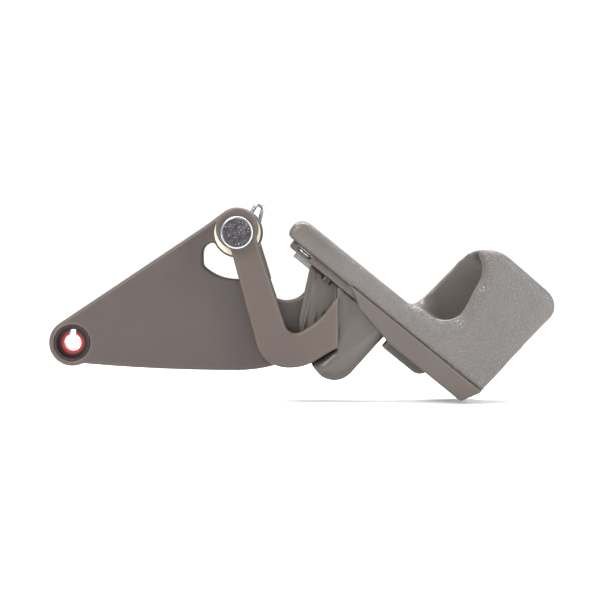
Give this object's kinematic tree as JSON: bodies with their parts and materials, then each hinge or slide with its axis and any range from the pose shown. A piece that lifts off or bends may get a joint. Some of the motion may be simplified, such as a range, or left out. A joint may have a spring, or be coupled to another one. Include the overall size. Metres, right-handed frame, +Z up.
{
  "type": "rope grab",
  "caption": "Rope grab with a pivoting C-shaped cam lever, clevis pin and hitch clip, throat housing and a grained rail with a finger loop.",
  "frame": {"origin": "centre of the lanyard eye's bore, on the grab's middle plane", "axes": "+X from the lanyard eye towards the finger loop, +Y along the pivot pin from its head to its clip, +Z up; the rail slopes down towards +X by 39.1 degrees"},
  "size_m": [0.1984, 0.0402, 0.0777],
  "materials": {
    "lever_moulding": "smooth fine matte moulding, taupe",
    "arm_moulding": "smooth fine matte moulding, taupe",
    "housing_moulding": "semi-gloss taupe moulding",
    "grip_moulding": "leather-grained taupe moulding",
    "skirt_moulding": "smooth taupe moulding",
    "guide_moulding": "dark taupe moulding",
    "bush_steel": "turned steel",
    "eye_liner": "dark maroon plastic",
    "red_sleeve": "glossy red plastic",
    "cam_steel": "hardened, oil-blackened teeth",
    "pin_steel": "ground steel",
    "screw_steel": "zinc plated",
    "pale_nylon": "pale natural nylon",
    "zinc_washer": "zinc plated",
    "pin_plated": "bright zinc with a rough forged head face",
    "spring_wire": "bright drawn spring wire",
    "shoe_steel": "stamped stainless plate"
  },
  "bodies": {
    "frame": {"front_arm": "arm_moulding", "rear_arm": "arm_moulding", "stop_pin": "pin_steel", "arm_screws": "screw_steel", "throat_housing": "housing_moulding", "front_washer": "pale_nylon", "rear_washer": "pale_nylon", "tail_washer": "zinc_washer", "pivot_pin": "pin_plated", "lever_spring": "spring_wire", "handle_cover": "grip_moulding", "skirt_frame": "skirt_moulding", "rope_shoe": "shoe_steel", "tail_guide": "guide_moulding", "shoe_screws": "screw_steel", "frame_screws": "screw_steel"},
    "lever": {"lever_plate": "lever_moulding", "lever_bush": "bush_steel", "eye_cup": "eye_liner", "eye_sleeve": "red_sleeve", "cam_insert": "cam_steel", "cam_pins": "pin_steel"},
    "clip": {"hitch_clip": "spring_wire"}
  },
  "joints": [
    {"name": "lever_pivot", "type": "hinge", "parent": "frame", "child": "lever", "pos_m": [0.0652, 0, 0.0433], "axis": [0, 1, 0], "range_deg": [0, 35], "stiffness_Nm_per_rad": 0.05, "springref_deg": -34.38},
    {"name": "clip_pull", "type": "slide", "parent": "frame", "child": "clip", "axis": [0.5262, 0, 0.8504], "range_m": [0, 0.013]}
  ]
}
